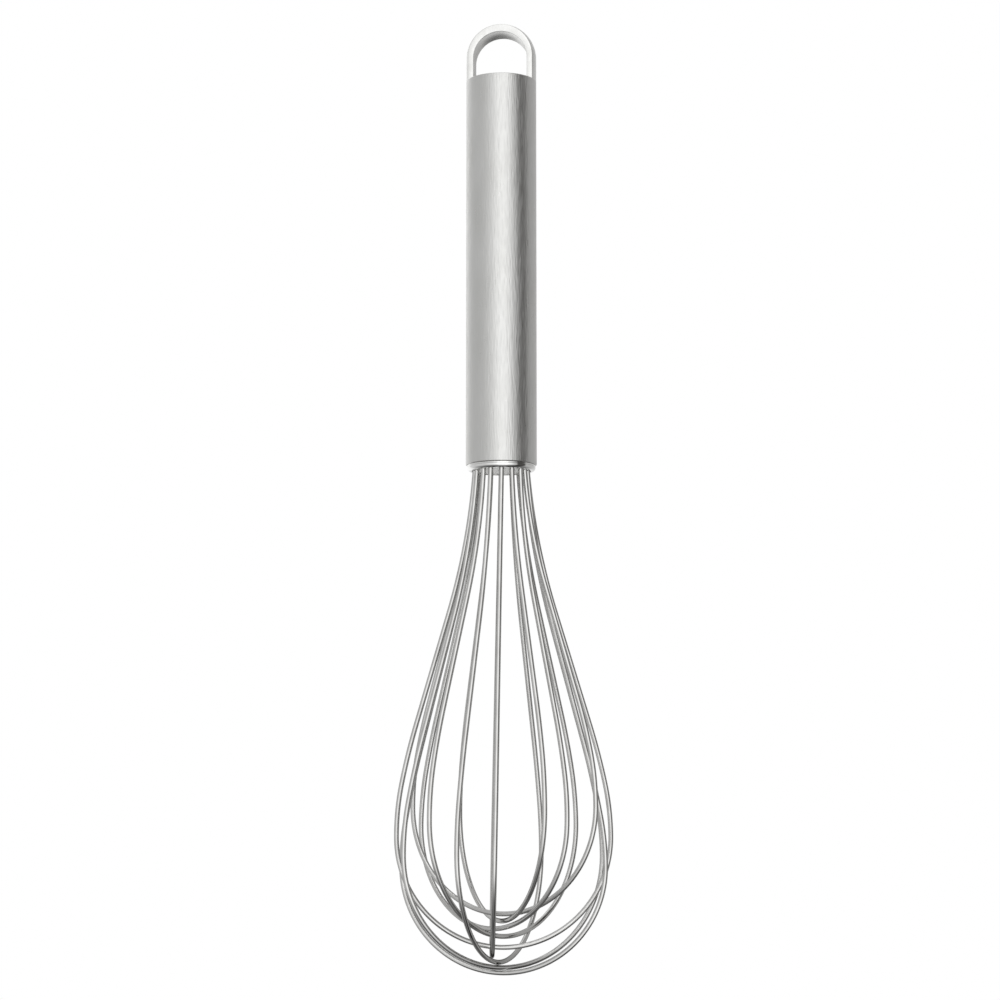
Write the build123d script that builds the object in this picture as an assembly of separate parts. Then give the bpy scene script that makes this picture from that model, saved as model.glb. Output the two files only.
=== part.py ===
from build123d import *

import os
from math import cos, radians, sin

# Balloon whisk: nine wire loops potted in the end of a sealed tubular handle.
#
# The whisk hangs upright, handle up.  Z runs along its axis, and the origin is the point
# inside the hanging loop that rests on a hook.  The hanging loop stands in the XZ plane and
# its eye opens along Y.  All sizes are in millimetres.

# Handle tube
handle_diameter = 22.0
tube_wall = 1.0
handle_length = 122.0
rim_rounding = 0.3

# Hanging loop: a strap that stands flush on the tube's wall and closes over it as a dome
strap_width = 8.5
strap_thickness = 1.6
leg_height = 7.4
crown_extra = 0.5
strap_edge_rounding = 0.12

# Disc that closes the handle under the hanging loop
end_disc_thickness = 1.2
end_disc_recess = 1.0

# Rolled collar at the wire end of the handle
collar_step = 0.4
collar_drop = 1.9
bead_height = 0.55
groove_height = 0.2
groove_depth = 0.3
spigot_length = 4.0
spigot_wall = 0.6
lip_inset = 0.2
lip_width = 0.4
lip_height = 0.8

# Wires
wire_diameter = 1.5
wire_tail = 16.0

# Plug that holds the wires, resin behind it, and the disc that the resin is poured against
plug_beyond_ring = 0.45
plug_recess = 0.2
plug_flange = 6.0
resin_depth = 12.0
resin_dam_thickness = 2.0

# Clearances
press_clearance = 0.05
socket_clearance = 0.03

# Side shape that the loops share.  Below the collar each side is a short exit bend, a long
# flare, a straight flank, a shoulder as round as the flare, and a tighter cheek down to the
# bulge.  The exit bend and the cheek each make a share of the flank's slope.
exit_bend_radius = 15.0
exit_bend_share = 0.3
flank_length = 36.0
cheek_radius = 80.0
cheek_share = 0.7

# The loops, from the outermost to the innermost: place in the ring of sockets, clear gap to
# the loop that it is nested in, half its width at the bulge, lean to the side in degrees,
# and turn in degrees from its place.  The balloon's reach is that of the outermost loop,
# from the collar's lip down to its wire's centre.
balloon_reach = 152.9
first_place_angle = -84.0
loops = [
    dict(place=4, gap=0.0, bulge=31.9, lean=0.2, turn=-4.0),
    dict(place=6, gap=0.1, bulge=33.6, lean=0.5, turn=-4.0),
    dict(place=8, gap=0.1, bulge=32.8, lean=-0.1, turn=-3.0),
    dict(place=0, gap=0.3, bulge=32.4, lean=-1.1, turn=0.6),
    dict(place=5, gap=1.1, bulge=33.2, lean=0.5, turn=1.0),
    dict(place=7, gap=1.8, bulge=34.0, lean=0.6, turn=-1.0),
    dict(place=2, gap=0.7, bulge=31.6, lean=-1.5, turn=4.8),
    dict(place=1, gap=0.9, bulge=33.0, lean=-0.1, turn=3.0),
    dict(place=3, gap=0.6, bulge=32.3, lean=0.2, turn=-0.5),
]

# Worked out from the values above
tube_radius = handle_diameter / 2
bore_radius = tube_radius - tube_wall
fit_radius = bore_radius - press_clearance
wire_radius = wire_diameter / 2

arch_centre = strap_thickness + crown_extra - tube_radius
tube_top = arch_centre - leg_height
tube_bottom = tube_top - handle_length
lip_plane = tube_bottom - collar_drop
spigot_bore = fit_radius - spigot_wall
lip_bore = spigot_bore - lip_inset
socket_ring_radius = lip_bore - press_clearance - wire_radius
spigot_top = tube_bottom + spigot_length
plug_top = spigot_top + plug_flange
resin_top = plug_top + resin_depth

on_base = (Align.CENTER, Align.CENTER, Align.MIN)


def disc(radius, bottom, top):
    """Solid round bar on the whisk's axis between two heights."""
    return Pos(0, 0, bottom) * Cylinder(radius, top - bottom, align=on_base)


def make_handle_tube():
    """Drawn tube, both rims lightly rounded on the outside."""
    bar = disc(tube_radius, tube_bottom, tube_top)
    rims = bar.edges().filter_by(GeomType.CIRCLE)
    bar = fillet(rims, min(rim_rounding, 0.45 * tube_wall))
    return bar - disc(bore_radius, tube_bottom, tube_top)


def domed_post(radius, base, centre):
    """Round bar from base up to centre, closed by a half ball of the same radius."""
    bar = disc(radius, base, centre)
    ball = Pos(0, 0, centre) * Sphere(radius)
    return bar + ball


def strap_shell(base):
    """The part of a domed shell, from base up, that lies within the strap's width."""
    shell = domed_post(tube_radius, base, arch_centre)
    shell -= domed_post(tube_radius - strap_thickness, base, arch_centre - crown_extra)
    across = 2 * handle_diameter
    return shell & Pos(0, 0, base) * Box(across, strap_width, across, align=on_base)


def make_hanging_loop():
    """Strap that carries on the tube's outside, over a dome and down the other side.

    Its feet reach down by the rounding of the rim: outside they fill it flush, and inside
    they make a small lip that locates the strap in the bore.
    """
    loop = strap_shell(tube_top)
    long_edges = ShapeList()
    for side in loop.faces().filter_by(Axis.Y):
        long_edges += side.edges().filter_by(lambda edge: edge.center().Z > tube_top + 0.1)
    loop = fillet(long_edges, min(strap_edge_rounding, 0.3 * strap_thickness))
    feet = strap_shell(tube_top - rim_rounding) - strap_shell(tube_top) - make_handle_tube()
    return loop + feet


def make_end_disc():
    """Flat disc set a little way down inside the top of the tube."""
    top = tube_top - end_disc_recess
    return disc(fit_radius, top - end_disc_thickness, top)


def make_end_collar():
    """Turned ring: a bead and a rolled lip below the tube, and a spigot inside it."""
    rim = tube_radius - collar_step
    bead_bottom = tube_bottom - bead_height
    roll_top = bead_bottom - groove_height
    roll_height = roll_top - lip_plane
    lip_rim = lip_bore + lip_width
    roll_width = rim - lip_rim
    bead_middle = tube_bottom - bead_height / 2
    with BuildPart() as collar:
        with BuildSketch(Plane.XZ):
            with BuildLine():
                Polyline(
                    (spigot_bore, lip_plane + lip_height),
                    (spigot_bore, spigot_top),
                    (fit_radius, spigot_top),
                    (fit_radius, tube_bottom),
                    (rim - bead_height / 4, tube_bottom),
                )
                ThreePointArc(
                    (rim - bead_height / 4, tube_bottom),
                    (rim, bead_middle),
                    (rim - bead_height / 4, bead_bottom),
                )
                Polyline(
                    (rim - bead_height / 4, bead_bottom),
                    (rim - groove_depth, bead_bottom),
                    (rim - groove_depth, roll_top),
                    (rim, roll_top),
                )
                EllipticalCenterArc(
                    (lip_rim, roll_top), roll_width, roll_height, start_angle=270, arc_size=90
                )
                Polyline(
                    (lip_rim, lip_plane),
                    (lip_bore, lip_plane),
                    (lip_bore, lip_plane + lip_height),
                    (spigot_bore, lip_plane + lip_height),
                )
            make_face()
        revolve(axis=Axis.Z)
    return collar.part


def loop_reach(index):
    """Depth of a loop's wire below the lip: each loop hangs clear inside the one before."""
    nested = loops[1 : index + 1]
    return balloon_reach - sum(wire_diameter + inner["gap"] for inner in nested)


def place_loop(shape, index):
    """Turn and lean a shape drawn in the XZ plane into its loop's place, lip at the top."""
    loop = loops[index]
    angle = first_place_angle + loop["place"] * 180.0 / len(loops) + loop["turn"]
    return Pos(0, 0, lip_plane) * Rot(0, -loop["lean"], 0) * Rot(0, 0, angle) * shape


def side_bend(reach, bulge):
    """Slope of the flank, and radius of flare and shoulder, that join collar and bulge."""
    out = bulge - socket_ring_radius
    down = reach - bulge
    shallow, steep = 0.0, 90.0
    while steep - shallow > 1e-9:
        slope = (shallow + steep) / 2
        flank = radians(slope)
        exit_bend = exit_bend_share * flank
        cheek = cheek_share * flank
        fixed_out = exit_bend_radius * (1 - cos(exit_bend)) + cheek_radius * (1 - cos(cheek))
        fixed_out += flank_length * sin(flank)
        radius = (out - fixed_out) / (cos(exit_bend) + cos(cheek) - 2 * cos(flank))
        depth = exit_bend_radius * sin(exit_bend) + cheek_radius * sin(cheek)
        depth += flank_length * cos(flank)
        depth += radius * (2 * sin(flank) - sin(exit_bend) - sin(cheek))
        if depth > down:
            shallow = slope
        else:
            steep = slope
    return slope, radius


def loop_path(reach, bulge):
    """Centre line of one loop in the XZ plane: tail, flare, flank, shoulder and round nose."""
    slope, radius = side_bend(reach, bulge)
    exit_slope = exit_bend_share * slope
    cheek_slope = cheek_share * slope
    with BuildLine(Plane.XZ) as path:
        tail = Line((socket_ring_radius, wire_tail), (socket_ring_radius, 0))
        bend = JernArc(tail @ 1, tail % 1, exit_bend_radius, exit_slope)
        flare = JernArc(bend @ 1, bend % 1, radius, slope - exit_slope)
        flank = Line(flare @ 1, flare @ 1 + flank_length * (flare % 1))
        shoulder = JernArc(flank @ 1, flank % 1, radius, cheek_slope - slope)
        cheek = JernArc(shoulder @ 1, shoulder % 1, cheek_radius, -cheek_slope)
        mirror(about=Plane.YZ)
        JernArc(cheek @ 1, cheek % 1, bulge, -180)
    return path.wire()


def make_wire_loop(index):
    """One length of round wire bent to its loop, both tails straight."""
    path = loop_path(loop_reach(index), loops[index]["bulge"])
    section = Plane(origin=path @ 0, z_dir=path % 0) * Circle(wire_radius)
    return place_loop(sweep(section, path=path), index)


def make_sockets():
    """Every wire tail with its clearance, to be cut from what the wires are set in."""
    sockets = []
    for index in range(len(loops)):
        for side in (-1, 1):
            tail = Pos(side * socket_ring_radius, 0, wire_tail / 2) * Cylinder(
                wire_radius + socket_clearance, wire_tail + 2 * lip_height
            )
            sockets.append(place_loop(tail, index))
    return sockets


def socketed(bar, sockets):
    """A round bar with every socket cut from it."""
    for socket in sockets:
        bar -= socket
    return bar


def make_wire_plug(sockets):
    """Moulded plug: grooved stem inside the collar, flange seated on the collar's spigot."""
    stem = disc(socket_ring_radius + plug_beyond_ring, lip_plane + plug_recess, plug_top)
    flange = disc(fit_radius, spigot_top, plug_top)
    return socketed(stem, sockets) + socketed(flange, sockets)


def make_potting_resin(sockets):
    """Resin poured over the plug, set round the wire tails."""
    return socketed(disc(fit_radius, plug_top, resin_top), sockets)


def make_resin_dam():
    """Soft disc pushed into the tube that the resin was poured against."""
    return disc(fit_radius, resin_top, resin_top + resin_dam_thickness)


os.makedirs("parts", exist_ok=True)
wire_sockets = make_sockets()
export_step(make_handle_tube(), "parts/handle_tube.step")
export_step(make_hanging_loop(), "parts/hanging_loop.step")
export_step(make_end_disc(), "parts/end_disc.step")
export_step(make_end_collar(), "parts/end_collar.step")
export_step(make_wire_plug(wire_sockets), "parts/wire_plug.step")
export_step(make_potting_resin(wire_sockets), "parts/potting_resin.step")
export_step(make_resin_dam(), "parts/resin_dam.step")
for number in range(len(loops)):
    export_step(make_wire_loop(number), f"parts/wire_loop_{number + 1}.step")
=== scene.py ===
import bmesh
import bpy
from math import cos, pi, radians, sin, sqrt
from mathutils import Matrix, Vector


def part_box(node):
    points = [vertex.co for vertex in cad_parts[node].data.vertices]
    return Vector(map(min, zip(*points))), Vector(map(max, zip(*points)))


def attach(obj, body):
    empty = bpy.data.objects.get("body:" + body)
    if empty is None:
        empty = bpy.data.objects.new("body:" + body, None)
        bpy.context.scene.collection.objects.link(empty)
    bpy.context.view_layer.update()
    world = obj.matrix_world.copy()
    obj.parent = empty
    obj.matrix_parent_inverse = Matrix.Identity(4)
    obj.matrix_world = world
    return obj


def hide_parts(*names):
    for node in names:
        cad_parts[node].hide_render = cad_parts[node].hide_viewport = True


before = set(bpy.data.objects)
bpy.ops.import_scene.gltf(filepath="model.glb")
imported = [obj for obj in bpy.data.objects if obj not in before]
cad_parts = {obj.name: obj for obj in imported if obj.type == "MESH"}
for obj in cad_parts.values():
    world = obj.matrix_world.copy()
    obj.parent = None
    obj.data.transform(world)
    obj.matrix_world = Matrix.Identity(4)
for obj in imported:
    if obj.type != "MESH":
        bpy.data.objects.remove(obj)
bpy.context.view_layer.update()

# ---- Handle tube ----
# A length of drawn stainless tube, 1 mm in the wall, cut square and rounded lightly at both
# rims.  It is brushed along its length to a satin finish.  Every other piece is held in it or
# welded to it.

MM = 0.001
TUBE_RADIUS = 11.0 * MM
BORE_RADIUS = 10.0 * MM
TUBE_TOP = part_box("handle_tube")[1].z
TUBE_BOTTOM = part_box("handle_tube")[0].z
RIM_ROUNDING = 0.3 * MM
MERGE_DISTANCE = 0.0001 * MM
SATIN_DARK = (0.62, 0.62, 0.605)
SATIN_LIGHT = (0.68, 0.68, 0.67)
BRUSH_LINES_PER_METRE = 2400
BRUSH_LINE_STRETCH = 0.11
BRUSH_DEPTH = 0.07 * MM


def arc_points(centre, radii, start, end, steps):
    """Points of an elliptical arc in the (radius, height) plane, angles in degrees."""
    points = []
    for step in range(steps + 1):
        angle = radians(start + (end - start) * step / steps)
        points.append((centre[0] + radii[0] * cos(angle), centre[1] + radii[1] * sin(angle)))
    return points


def finish_mesh(name, bm, sharp_angle=35):
    """Turn a bmesh into a smooth-shaded object whose hard edges stay crisp."""
    bmesh.ops.recalc_face_normals(bm, faces=bm.faces)
    mesh = bpy.data.meshes.new(name)
    bm.to_mesh(mesh)
    bm.free()
    for face in mesh.polygons:
        face.use_smooth = True
    mesh.set_sharp_from_angle(angle=radians(sharp_angle))
    piece = bpy.data.objects.new(name, mesh)
    bpy.context.scene.collection.objects.link(piece)
    return piece


def turned(name, profile, segments=128):
    """A piece turned about the whisk's axis from a closed (radius, height) outline."""
    bm = bmesh.new()
    rings = []
    for segment in range(segments):
        angle = 2 * pi * segment / segments
        rings.append([bm.verts.new((r * cos(angle), r * sin(angle), z)) for r, z in profile])
    for segment in range(segments):
        here, there = rings[segment], rings[(segment + 1) % segments]
        for k in range(len(profile)):
            m = (k + 1) % len(profile)
            bm.faces.new((here[k], there[k], there[m], here[m]))
    bmesh.ops.remove_doubles(bm, verts=bm.verts, dist=MERGE_DISTANCE)
    return finish_mesh(name, bm)


def set_inputs(node, inputs):
    """Set a node's inputs, by name or by number, to plain values or to other nodes' outputs."""
    for key, value in inputs.items():
        if isinstance(value, bpy.types.NodeSocket):
            node.id_data.links.new(value, node.inputs[key])
        else:
            node.inputs[key].default_value = value


def node_adder(tree):
    """A function that adds a node of one kind to the tree, with its settings and inputs."""

    def add(kind, inputs, **settings):
        node = tree.nodes.new(kind)
        for setting, value in settings.items():
            setattr(node, setting, value)
        set_inputs(node, inputs)
        return node

    return add


def new_material(name):
    """An empty node material with its shader, and a function that adds nodes to it."""
    material = bpy.data.materials.new(name)
    material.use_nodes = True
    tree = material.node_tree
    return material, tree.nodes["Principled BSDF"], node_adder(tree)


def grain(add, scale, stretch=(1.0, 1.0, 1.0), detail=5.0, roughness=0.6, coordinate="Object"):
    """Noise for a finish.  A larger scale is finer, and a smaller stretch is longer that way."""
    where = add("ShaderNodeTexCoord", {}).outputs[coordinate]
    mapping = add("ShaderNodeMapping", {"Vector": where, "Scale": stretch})
    noise = {
        "Vector": mapping.outputs["Vector"],
        "Scale": scale,
        "Detail": detail,
        "Roughness": roughness,
    }
    return add("ShaderNodeTexNoise", noise).outputs["Fac"]


def between(add, factor, low, high, near=0.3, far=0.7):
    """A value that goes from low to high as the factor goes from near to far."""
    spread = {"Value": factor, "From Min": near, "From Max": far, "To Min": low, "To Max": high}
    return add("ShaderNodeMapRange", spread).outputs["Result"]


def total(add, first, second):
    """The sum of two values."""
    return add("ShaderNodeMath", {0: first, 1: second}, operation="ADD").outputs[0]


def tint(add, factor, first, second, near=0.3, far=0.7):
    """A colour that goes from the first to the second as the factor goes from near to far."""
    ramp = add("ShaderNodeValToRGB", {"Fac": factor})
    for stop, place, colour in zip(ramp.color_ramp.elements, (near, far), (first, second)):
        stop.position = place
        stop.color = (*colour, 1)
    return ramp.outputs["Color"]


def relief(add, height, strength, depth):
    """Fine relief of a finish, with its depth in metres."""
    bump = add("ShaderNodeBump", {"Height": height, "Strength": strength, "Distance": depth})
    return bump.outputs["Normal"]


satin_steel, shader, add = new_material("satin_brushed_steel")
strokes = grain(add, BRUSH_LINES_PER_METRE, (1.0, 1.0, BRUSH_LINE_STRETCH), detail=2, roughness=0.5)
patches = grain(add, 130, (1.0, 1.0, 0.35), detail=4)
satin_finish = {
    "Metallic": 1.0,
    "Base Color": tint(add, patches, SATIN_DARK, SATIN_LIGHT),
    "Roughness": total(add, between(add, strokes, -0.08, 0.08), between(add, patches, 0.33, 0.39)),
    "Normal": relief(add, strokes, 1.0, BRUSH_DEPTH),
}
set_inputs(shader, satin_finish)

tube_outline = []
for height, start in ((TUBE_TOP - RIM_ROUNDING, 90), (TUBE_BOTTOM + RIM_ROUNDING, 0)):
    centre = (TUBE_RADIUS - RIM_ROUNDING, height)
    tube_outline += arc_points(centre, (RIM_ROUNDING, RIM_ROUNDING), start, start - 90, steps=6)
tube_outline += [(BORE_RADIUS, TUBE_BOTTOM), (BORE_RADIUS, TUBE_TOP)]
handle_tube = turned("handle_tube_brushed", tube_outline, segments=160)
handle_tube.data.materials.append(satin_steel)
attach(handle_tube, "root")
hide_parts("handle_tube")

# ---- Hanging loop ----
# A narrow stainless strap, pressed to the tube's own curve and bent over it as a dome.  Its
# two feet are welded to the tube's rim and ground flush.  It is rubbed smooth, and its long
# edges are broken lightly, so they catch the light.

STRAP_WIDTH = 8.5 * MM
STRAP_THICKNESS = 1.6 * MM
CROWN_EXTRA = 0.5 * MM
ARCH_CENTRE = -8.9 * MM
INNER_ARCH_CENTRE = ARCH_CENTRE - CROWN_EXTRA
FOOT_PLANE = TUBE_TOP - RIM_ROUNDING
EDGE_ROUNDING = 0.12 * MM
LEG_STEPS = 8
STRAP_DARK = (0.68, 0.68, 0.665)
STRAP_LIGHT = (0.76, 0.76, 0.75)
RUB_DEPTH = 0.02 * MM


def strap_stations(arch_steps):
    """Stations along the strap, as (angle round the arch, drop down a leg)."""
    leg = ARCH_CENTRE - FOOT_PLANE
    stations = [(0.0, leg * (1 - k / LEG_STEPS)) for k in range(LEG_STEPS)]
    stations += [(pi * k / arch_steps, 0.0) for k in range(arch_steps + 1)]
    stations += [(pi, leg * (k + 1) / LEG_STEPS) for k in range(LEG_STEPS)]
    return stations


def strap_section(steps):
    """Places round the strap's section, as (place across its width, 0 outside to 1 inside)."""
    flat = STRAP_WIDTH / 2 - EDGE_ROUNDING
    share = EDGE_ROUNDING / STRAP_THICKNESS
    places = [(-flat + 2 * flat * k / steps, 0.0) for k in range(steps + 1)]
    corner = [radians(a) for a in (18, 36, 54, 72, 90)]
    places += [(flat + EDGE_ROUNDING * sin(a), share * (1 - cos(a))) for a in corner]
    places += [(flat + EDGE_ROUNDING * cos(a), 1 - share * (1 - sin(a))) for a in [0] + corner]
    places += [(flat - 2 * flat * k / steps, 1.0) for k in range(1, steps + 1)]
    places += [(-flat - EDGE_ROUNDING * sin(a), 1 - share * (1 - cos(a))) for a in corner]
    places += [(-flat - EDGE_ROUNDING * cos(a), share * (1 - sin(a))) for a in [0] + corner[:-1]]
    return places


def strap_point(station, place):
    """Point of the strap, whose two faces are bands of a dome on a cylinder."""
    angle, drop = station
    across, depth = place
    outer = sqrt(TUBE_RADIUS**2 - across**2)
    inner = sqrt((TUBE_RADIUS - STRAP_THICKNESS) ** 2 - across**2)
    high = Vector((outer * cos(angle), across, ARCH_CENTRE + outer * sin(angle) - drop))
    inner_drop = drop * (INNER_ARCH_CENTRE - FOOT_PLANE) / (ARCH_CENTRE - FOOT_PLANE)
    low = Vector((inner * cos(angle), across, INNER_ARCH_CENTRE + inner * sin(angle) - inner_drop))
    return high.lerp(low, depth)


rubbed_steel, shader, add = new_material("rubbed_strap_steel")
rub_marks = grain(add, 1100, (1.0, 1.0, 0.5), detail=4)
rub_patches = grain(add, 170)
rubbed_finish = {
    "Metallic": 1.0,
    "Base Color": tint(add, rub_patches, STRAP_DARK, STRAP_LIGHT),
    "Roughness": between(add, rub_marks, 0.22, 0.36),
    "Normal": relief(add, rub_marks, 0.6, RUB_DEPTH),
}
set_inputs(shader, rubbed_finish)

bm = bmesh.new()
section = strap_section(steps=10)
stations = strap_stations(arch_steps=72)
rows = [[bm.verts.new(strap_point(station, place)) for place in section] for station in stations]
for here, there in zip(rows, rows[1:]):
    for k in range(len(section)):
        m = (k + 1) % len(section)
        bm.faces.new((here[k], here[m], there[m], there[k]))
bm.faces.new(rows[0])
bm.faces.new(rows[-1])
bmesh.ops.remove_doubles(bm, verts=bm.verts, dist=MERGE_DISTANCE)
hanging_loop = finish_mesh("hanging_loop_strap", bm)
hanging_loop.data.materials.append(rubbed_steel)
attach(hanging_loop, "root")
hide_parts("hanging_loop")

# ---- End disc ----
# A thin stainless disc pressed a millimetre down into the top of the tube and laser welded
# round its edge, so that the handle is sealed.  Its face keeps the fine rings of the lathe.

PRESS_CLEARANCE = 0.05 * MM
DISC_LOW, DISC_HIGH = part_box("end_disc")
DISC_RADIUS = BORE_RADIUS - PRESS_CLEARANCE
DISC_BEVEL = 0.15 * MM
DISC_DARK = (0.52, 0.52, 0.51)
DISC_LIGHT = (0.60, 0.60, 0.59)
LATHE_RING_DEPTH = 0.02 * MM

turned_steel, shader, add = new_material("turned_disc_steel")
where = add("ShaderNodeTexCoord", {}).outputs["Object"]
lathe_rings = add(
    "ShaderNodeTexWave",
    {"Vector": where, "Scale": 900.0, "Distortion": 1.5, "Detail": 3.0},
    wave_type="RINGS",
    rings_direction="Z",
)
mottle = grain(add, 220)
turned_finish = {
    "Metallic": 1.0,
    "Base Color": tint(add, mottle, DISC_DARK, DISC_LIGHT),
    "Roughness": between(add, mottle, 0.24, 0.36),
    "Normal": relief(add, lathe_rings.outputs["Fac"], 0.3, LATHE_RING_DEPTH),
}
set_inputs(shader, turned_finish)

disc_outline = [
    (0.0, DISC_LOW.z),
    (DISC_RADIUS, DISC_LOW.z),
    (DISC_RADIUS, DISC_HIGH.z - DISC_BEVEL),
    (DISC_RADIUS - DISC_BEVEL, DISC_HIGH.z),
    (0.0, DISC_HIGH.z),
]
end_disc = turned("end_disc_turned", disc_outline)
end_disc.data.materials.append(turned_steel)
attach(end_disc, "root")
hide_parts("end_disc")

# ---- End collar ----
# A turned and polished stainless ring pushed into the wire end of the tube by its spigot.
# Below the tube it shows a thin bead, a groove, and a lip rolled in towards the wires.

COLLAR_RADIUS = TUBE_RADIUS - 0.4 * MM
BEAD_HEIGHT = 0.55 * MM
BEAD_SWELL = BEAD_HEIGHT / 4
GROOVE_HEIGHT = 0.2 * MM
GROOVE_RADIUS = COLLAR_RADIUS - 0.3 * MM
SPIGOT_RADIUS = BORE_RADIUS - PRESS_CLEARANCE
SPIGOT_BORE = SPIGOT_RADIUS - 0.6 * MM
SPIGOT_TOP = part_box("end_collar")[1].z
LIP_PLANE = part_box("end_collar")[0].z
LIP_BORE = SPIGOT_BORE - 0.2 * MM
LIP_RIM = LIP_BORE + 0.4 * MM
LIP_HEIGHT = 0.8 * MM
COLLAR_DARK = (0.80, 0.80, 0.79)
COLLAR_LIGHT = (0.88, 0.88, 0.87)
LATHE_LINE_DEPTH = 0.02 * MM

polished_steel, shader, add = new_material("polished_collar_steel")
lathe_lines = grain(add, 1500, (0.03, 0.03, 1.0), detail=4)
smears = grain(add, 260, (1.0, 1.0, 1.6))
polished_finish = {
    "Metallic": 1.0,
    "Base Color": tint(add, smears, COLLAR_DARK, COLLAR_LIGHT),
    "Roughness": between(add, smears, 0.01, 0.05),
    "Normal": relief(add, lathe_lines, 0.12, LATHE_LINE_DEPTH),
}
set_inputs(shader, polished_finish)

bead_bottom = TUBE_BOTTOM - BEAD_HEIGHT
roll_top = bead_bottom - GROOVE_HEIGHT
bead_centre = (COLLAR_RADIUS - BEAD_SWELL, TUBE_BOTTOM - BEAD_HEIGHT / 2)
roll_radii = (COLLAR_RADIUS - LIP_RIM, roll_top - LIP_PLANE)
collar_outline = [
    (SPIGOT_BORE, LIP_PLANE + LIP_HEIGHT),
    (SPIGOT_BORE, SPIGOT_TOP),
    (SPIGOT_RADIUS, SPIGOT_TOP),
    (SPIGOT_RADIUS, TUBE_BOTTOM),
]
collar_outline += arc_points(bead_centre, (BEAD_SWELL, BEAD_HEIGHT / 2), 90, -90, steps=8)
collar_outline += [(GROOVE_RADIUS, bead_bottom), (GROOVE_RADIUS, roll_top)]
collar_outline += arc_points((LIP_RIM, roll_top), roll_radii, 0, -90, steps=16)
collar_outline += [(LIP_BORE, LIP_PLANE), (LIP_BORE, LIP_PLANE + LIP_HEIGHT)]
end_collar = turned("end_collar_polished", collar_outline, segments=160)
end_collar.data.materials.append(polished_steel)
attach(end_collar, "root")
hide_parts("end_collar")

# ---- Wire plug ----
# A pale moulded plastic plug with a groove or bore for every wire end.  Its stem fills the
# mouth of the collar and shows between the wires, and its flange is seated on the spigot.

PLUG_DARK = (0.86, 0.86, 0.84)
PLUG_LIGHT = (0.92, 0.92, 0.90)
SPECKLE_DEPTH = 0.03 * MM

plug_plastic, shader, add = new_material("moulded_plug_plastic")
speckle = grain(add, 1400, detail=3)
cloud = grain(add, 180)
moulded_finish = {
    "Base Color": tint(add, cloud, PLUG_DARK, PLUG_LIGHT),
    "Roughness": between(add, speckle, 0.42, 0.62),
    "Normal": relief(add, speckle, 0.3, SPECKLE_DEPTH),
}
set_inputs(shader, moulded_finish)
wire_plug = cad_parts["wire_plug"]
wire_plug.data.materials.clear()
wire_plug.data.materials.append(plug_plastic)

# ---- Potting resin ----
# Clear amber epoxy poured over the plug inside the tube.  It has set round the bare wire
# ends, with a few small bubbles in it, and it keeps water out of the handle.

RESIN_DARK = (0.42, 0.27, 0.08)
RESIN_LIGHT = (0.56, 0.40, 0.16)
BUBBLE_DEPTH = 0.05 * MM

potting_epoxy, shader, add = new_material("amber_potting_epoxy")
where = add("ShaderNodeTexCoord", {}).outputs["Object"]
bubbles = add("ShaderNodeTexVoronoi", {"Vector": where, "Scale": 900.0}, feature="F1")
bubbles = bubbles.outputs["Distance"]
haze = grain(add, 240)
poured_finish = {
    "Base Color": tint(add, haze, RESIN_DARK, RESIN_LIGHT),
    "Roughness": between(add, bubbles, 0.35, 0.12, near=0.05, far=0.25),
    "Normal": relief(add, bubbles, 0.2, BUBBLE_DEPTH),
    "Transmission Weight": 0.35,
    "IOR": 1.55,
}
set_inputs(shader, poured_finish)
potting_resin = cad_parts["potting_resin"]
potting_resin.data.materials.clear()
potting_resin.data.materials.append(potting_epoxy)

# ---- Resin dam ----
# A soft black rubber disc pushed up the tube before the resin was poured, to stop it
# running on into the hollow handle.

RUBBER_DARK = (0.025, 0.025, 0.027)
RUBBER_LIGHT = (0.06, 0.06, 0.06)
PORE_DEPTH = 0.04 * MM

dam_rubber, shader, add = new_material("soft_dam_rubber")
bloom = grain(add, 320)
pores = grain(add, 2200, detail=2)
rubber_finish = {
    "Base Color": tint(add, bloom, RUBBER_DARK, RUBBER_LIGHT),
    "Roughness": between(add, pores, 0.6, 0.85),
    "Normal": relief(add, pores, 0.4, PORE_DEPTH),
}
set_inputs(shader, rubber_finish)
resin_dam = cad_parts["resin_dam"]
resin_dam.data.materials.clear()
resin_dam.data.materials.append(dam_rubber)

# ---- Wire loops ----
# Nine lengths of bright drawn stainless spring wire, 1.5 mm thick.  Each is bent to a tall
# rounded loop and hangs clear inside the one before, and both its tails go straight up
# through the collar and plug into the resin.

WIRE_RADIUS = 0.75 * MM
WIRE_TAIL = 16.0 * MM
RING_RADIUS = 8.35 * MM
EXIT_RADIUS = 15.0 * MM
EXIT_SHARE = 0.3
FLANK_LENGTH = 36.0 * MM
CHEEK_RADIUS = 80.0 * MM
CHEEK_SHARE = 0.7
FIRST_ANGLE = -84.0
OUTER_REACH = 152.9 * MM
SLOPE_PRECISION = 1e-10
WIRE_SIDES = 24
WIRE_DARK = (0.56, 0.555, 0.545)
WIRE_LIGHT = (0.66, 0.66, 0.65)
WIRE_EDGE = (0.15, 0.15, 0.145, 1.0)
DIE_LINE_DEPTH = 0.01 * MM

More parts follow.
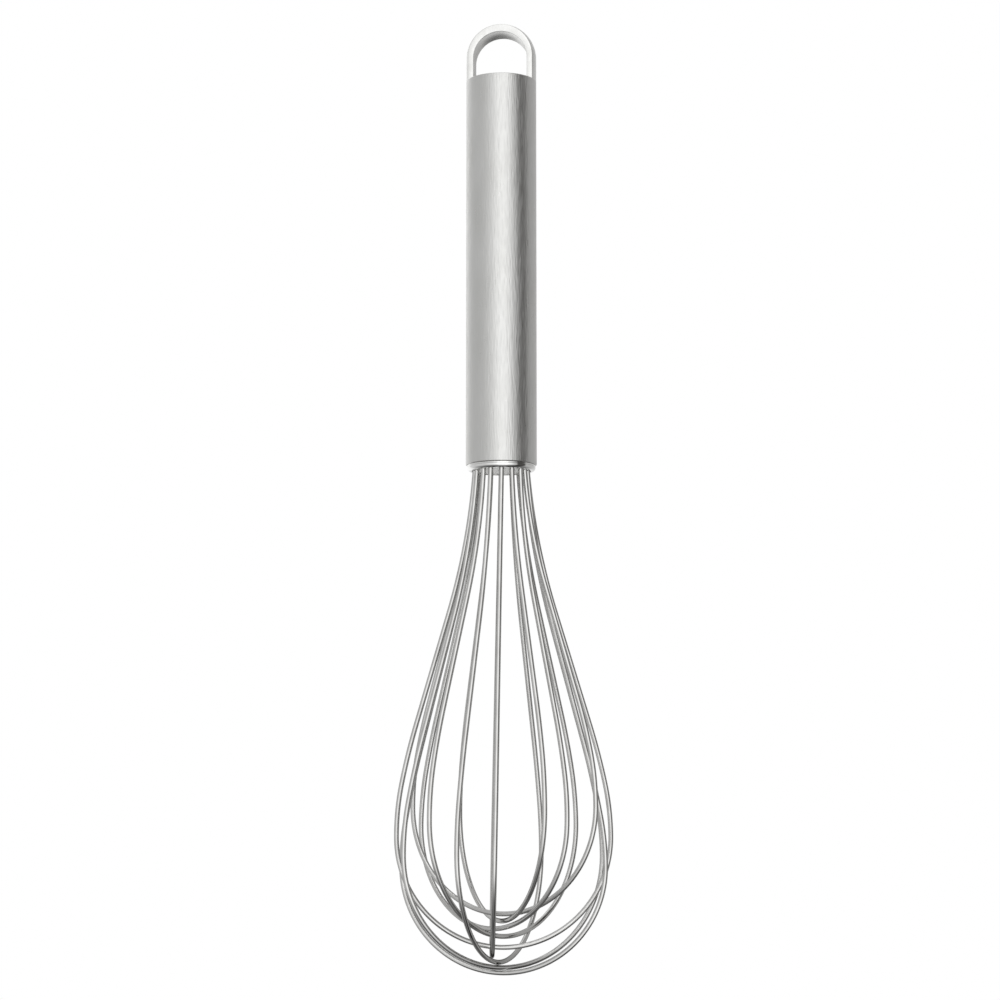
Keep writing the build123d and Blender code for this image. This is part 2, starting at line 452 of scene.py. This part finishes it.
# From the outermost loop to the innermost: its place on the ring, the gap to the loop that it
# hangs in and half its widest width in mm, its lean sideways and its turn off its place in
# degrees.
LOOPS = [
    dict(place=4, gap=0.0, bulge=31.9, lean=0.2, turn=-4.0),
    dict(place=6, gap=0.1, bulge=33.6, lean=0.5, turn=-4.0),
    dict(place=8, gap=0.1, bulge=32.8, lean=-0.1, turn=-3.0),
    dict(place=0, gap=0.3, bulge=32.4, lean=-1.1, turn=0.6),
    dict(place=5, gap=1.1, bulge=33.2, lean=0.5, turn=1.0),
    dict(place=7, gap=1.8, bulge=34.0, lean=0.6, turn=-1.0),
    dict(place=2, gap=0.7, bulge=31.6, lean=-1.5, turn=4.8),
    dict(place=1, gap=0.9, bulge=33.0, lean=-0.1, turn=3.0),
    dict(place=3, gap=0.6, bulge=32.3, lean=0.2, turn=-0.5),
]


def side_bend(reach, bulge):
    """Slope of the flank, and radius of flare and shoulder, that join collar and bulge."""
    out = bulge - RING_RADIUS
    down = reach - bulge
    shallow, steep = 0.0, pi / 2
    while steep - shallow > SLOPE_PRECISION:
        flank = (shallow + steep) / 2
        exit_bend = EXIT_SHARE * flank
        cheek = CHEEK_SHARE * flank
        fixed = EXIT_RADIUS * (1 - cos(exit_bend)) + CHEEK_RADIUS * (1 - cos(cheek))
        fixed += FLANK_LENGTH * sin(flank)
        radius = (out - fixed) / (cos(exit_bend) + cos(cheek) - 2 * cos(flank))
        depth = EXIT_RADIUS * sin(exit_bend) + CHEEK_RADIUS * sin(cheek) + FLANK_LENGTH * cos(flank)
        depth += radius * (2 * sin(flank) - sin(exit_bend) - sin(cheek))
        if depth > down:
            shallow = flank
        else:
            steep = flank
    return flank, radius


def bend_wire(reach, bulge):
    """Centre line of one loop as (out, down, slope), from one tail's end to the other's."""
    flank, radius = side_bend(reach, bulge)
    exit_bend = EXIT_SHARE * flank
    cheek = CHEEK_SHARE * flank
    line = [(RING_RADIUS, -WIRE_TAIL, 0.0), (RING_RADIUS, 0.0, 0.0)]

    def bend(bend_radius, end_slope, steps):
        """Carry the line on round an arc until it has the new slope."""
        out, down, slope = line[-1]
        side = bend_radius if end_slope > slope else -bend_radius
        for step in range(1, steps + 1):
            s = slope + (end_slope - slope) * step / steps
            further = side * (cos(slope) - cos(s))
            deeper = side * (sin(s) - sin(slope))
            line.append((out + further, down + deeper, s))

    bend(EXIT_RADIUS, exit_bend, steps=6)
    bend(radius, flank, steps=16)
    out, down, slope = line[-1]
    line.append((out + FLANK_LENGTH * sin(flank), down + FLANK_LENGTH * cos(flank), flank))
    bend(radius, cheek, steps=12)
    bend(CHEEK_RADIUS, 0.0, steps=16)
    bend(bulge, -pi / 2, steps=48)
    mirrored = [(-out, down, -pi - slope) for out, down, slope in reversed(line[:-1])]
    return line + mirrored


def place_loop(loop):
    """Where a loop stands: turned to its place on the ring, leaned, and set at the lip."""
    turn = radians(FIRST_ANGLE + loop["place"] * 180.0 / len(LOOPS) + loop["turn"])
    place = Matrix.Translation((0, 0, LIP_PLANE))
    return place @ Matrix.Rotation(radians(-loop["lean"]), 4, "Y") @ Matrix.Rotation(turn, 4, "Z")


def draw_wire(name, place, line):
    """A round wire swept along its centre line, with u round it and v along it."""
    bm = bmesh.new()
    uv = bm.loops.layers.uv.new("wire")
    rings, lengths = [], [0.0]
    for k, (out, down, slope) in enumerate(line):
        if k:
            step = sqrt((out - line[k - 1][0]) ** 2 + (down - line[k - 1][1]) ** 2)
            lengths.append(lengths[-1] + step)
        centre = Vector((out, 0.0, -down))
        outward = Vector((cos(slope), 0.0, sin(slope)))
        ring = []
        for side in range(WIRE_SIDES):
            a = 2 * pi * side / WIRE_SIDES
            spoke = cos(a) * outward + sin(a) * Vector((0, 1, 0))
            ring.append(bm.verts.new(place @ (centre + WIRE_RADIUS * spoke)))
        rings.append(ring)
    for k in range(len(rings) - 1):
        for side in range(WIRE_SIDES):
            m = (side + 1) % WIRE_SIDES
            face = bm.faces.new((rings[k][side], rings[k][m], rings[k + 1][m], rings[k + 1][side]))
            corners = ((side, k), (side + 1, k), (side + 1, k + 1), (side, k + 1))
            for corner, (s, step) in zip(face.loops, corners):
                corner[uv].uv = (s / WIRE_SIDES, lengths[step] / (2 * pi * WIRE_RADIUS))
    bm.faces.new(list(reversed(rings[0])))
    bm.faces.new(rings[-1])
    return finish_mesh(name, bm)


drawn_wire, shader, add = new_material("bright_drawn_wire")
die_lines = grain(add, 9.0, (1.0, 0.04, 1.0), coordinate="UV")
handling = grain(add, 160)
drawn_finish = {
    "Metallic": 1.0,
    "Specular Tint": WIRE_EDGE,
    "Base Color": tint(add, handling, WIRE_DARK, WIRE_LIGHT),
    "Roughness": total(add, between(add, die_lines, 0.0, 0.04), between(add, handling, 0.03, 0.06)),
    "Normal": relief(add, die_lines, 0.15, DIE_LINE_DEPTH),
}
set_inputs(shader, drawn_finish)

reach = OUTER_REACH
for number, loop in enumerate(LOOPS, start=1):
    if number > 1:
        reach -= 2 * WIRE_RADIUS + loop["gap"] * MM
    centre_line = bend_wire(reach, loop["bulge"] * MM)
    wire = draw_wire(f"wire_loop_{number}_drawn", place_loop(loop), centre_line)
    wire.data.materials.append(drawn_wire)
    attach(wire, "root")
    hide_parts(f"wire_loop_{number}")

# ---- Studio ----
# The whisk hangs over a plain pale floor in a white studio.  Broad soft panels stand round
# it: bright ones in front and behind, greyer ones between, and on one side a dark gap that
# the steel shows as a line.  The panels fade towards the floor, which a soft lamp lights.

FLOOR_HEIGHT = -0.62
FLOOR_RADIUS = 2.6
FLOOR_DARK = (0.80, 0.80, 0.80)
FLOOR_LIGHT = (0.83, 0.83, 0.83)
CAMERA_PLACE = Vector((0.0840, -0.7988, -0.2506))
CAMERA_AIM = Vector((0.0, 0.0, -0.1491))
CAMERA_LENS = 94.32
CAMERA_SHIFT = -0.0013
LAMP_PLACE = Vector((0.3, -0.2, 1.1))
LAMP_SIZE = 1.2
LAMP_POWER = 12.0
FRONT_TURN = radians(84.0)
FADE_START = 0.30
FADE_END = 0.90
FADED_LIGHT = 0.20
WARMTH = 0.08
WARM_BELOW = 0.6
WHITE = (1.0, 1.0, 1.0, 1.0)

# Bearing in degrees from the front, positive to the right, and brightness of the panels.
PANELS = [
    (-180, 0.80),
    (-166, 1.10),
    (-142, 1.10),
    (-122, 0.72),
    (-100, 0.62),
    (-62, 0.64),
    (-35, 0.88),
    (-18, 1.10),
    (-10, 1.46),
    (18, 1.46),
    (30, 1.05),
    (52, 0.52),
    (60, 0.08),
    (86, 0.08),
    (94, 0.50),
    (125, 0.52),
    (180, 0.80),
]


def panel_colour(level):
    """A neutral grey of this brightness, a little warmer where it is dark."""
    warm = 1 - WARMTH * max(0.0, 1 - level / WARM_BELOW)
    return (level, level * (1 + warm) / 2, level * warm, 1)


bm = bmesh.new()
bmesh.ops.create_circle(bm, cap_ends=True, segments=96, radius=FLOOR_RADIUS)
floor = finish_mesh("studio_floor", bm)
floor.location.z = FLOOR_HEIGHT
floor_paint, shader, add = new_material("pale_floor_paint")
roller = grain(add, 40, detail=3)
set_inputs(shader, {"Base Color": tint(add, roller, FLOOR_DARK, FLOOR_LIGHT), "Roughness": 0.8})
floor.data.materials.append(floor_paint)
floor.visible_glossy = False

world = bpy.data.worlds.new("white_studio")
world.use_nodes = True
world.node_tree.nodes.clear()
bpy.context.scene.world = world
add = node_adder(world.node_tree)

direction = add("ShaderNodeTexCoord", {}).outputs["Generated"]
from_front = add("ShaderNodeVectorRotate", {"Vector": direction, "Angle": FRONT_TURN})
parts = add("ShaderNodeSeparateXYZ", {"Vector": from_front.outputs["Vector"]}).outputs
bearing = add("ShaderNodeMath", {0: parts["Y"], 1: parts["X"]}, operation="ARCTAN2").outputs[0]
share = between(add, bearing, 0.0, 1.0, near=-pi, far=pi)
panels = add("ShaderNodeValToRGB", {"Fac": share})
ramp = panels.color_ramp
ramp.interpolation = "EASE"
for k, (degrees_round, level) in enumerate(PANELS):
    position = (degrees_round + 180) / 360
    stop = ramp.elements[k] if k < 2 else ramp.elements.new(position)
    stop.position = position
    stop.color = panel_colour(level)
downward = add("ShaderNodeMath", {0: parts["Z"], 1: -1.0}, operation="MULTIPLY").outputs[0]
fade = between(add, downward, 1.0, FADED_LIGHT, near=FADE_START, far=FADE_END)
fade.node.interpolation_type = "SMOOTHSTEP"
lit = add("ShaderNodeBackground", {"Color": panels.outputs["Color"], "Strength": fade})
plain = add("ShaderNodeBackground", {"Color": WHITE, "Strength": 1.0})
seen = add("ShaderNodeLightPath", {}).outputs["Is Camera Ray"]
mix = add("ShaderNodeMixShader", {0: seen, 1: lit.outputs[0], 2: plain.outputs[0]})
add("ShaderNodeOutputWorld", {"Surface": mix.outputs[0]})

lamp = bpy.data.lights.new("overhead_softbox", "AREA")
lamp.shape = "DISK"
lamp.size = LAMP_SIZE
lamp.energy = LAMP_POWER
overhead = bpy.data.objects.new("overhead_softbox", lamp)
overhead.location = LAMP_PLACE
overhead.rotation_mode = "QUATERNION"
overhead.rotation_quaternion = LAMP_PLACE.to_track_quat("Z", "Y")
overhead.visible_camera = False
overhead.visible_glossy = False
bpy.context.scene.collection.objects.link(overhead)

lens = bpy.data.cameras.new("camera")
lens.sensor_width = 36.0
lens.lens = CAMERA_LENS
lens.shift_x = CAMERA_SHIFT
lens.clip_start = 0.01
lens.clip_end = 20.0
camera = bpy.data.objects.new("camera", lens)
camera.location = CAMERA_PLACE
camera.rotation_mode = "QUATERNION"
camera.rotation_quaternion = (CAMERA_AIM - CAMERA_PLACE).to_track_quat("-Z", "Y")
bpy.context.scene.collection.objects.link(camera)
bpy.context.scene.camera = camera
bpy.context.scene.view_settings.view_transform = "Standard"
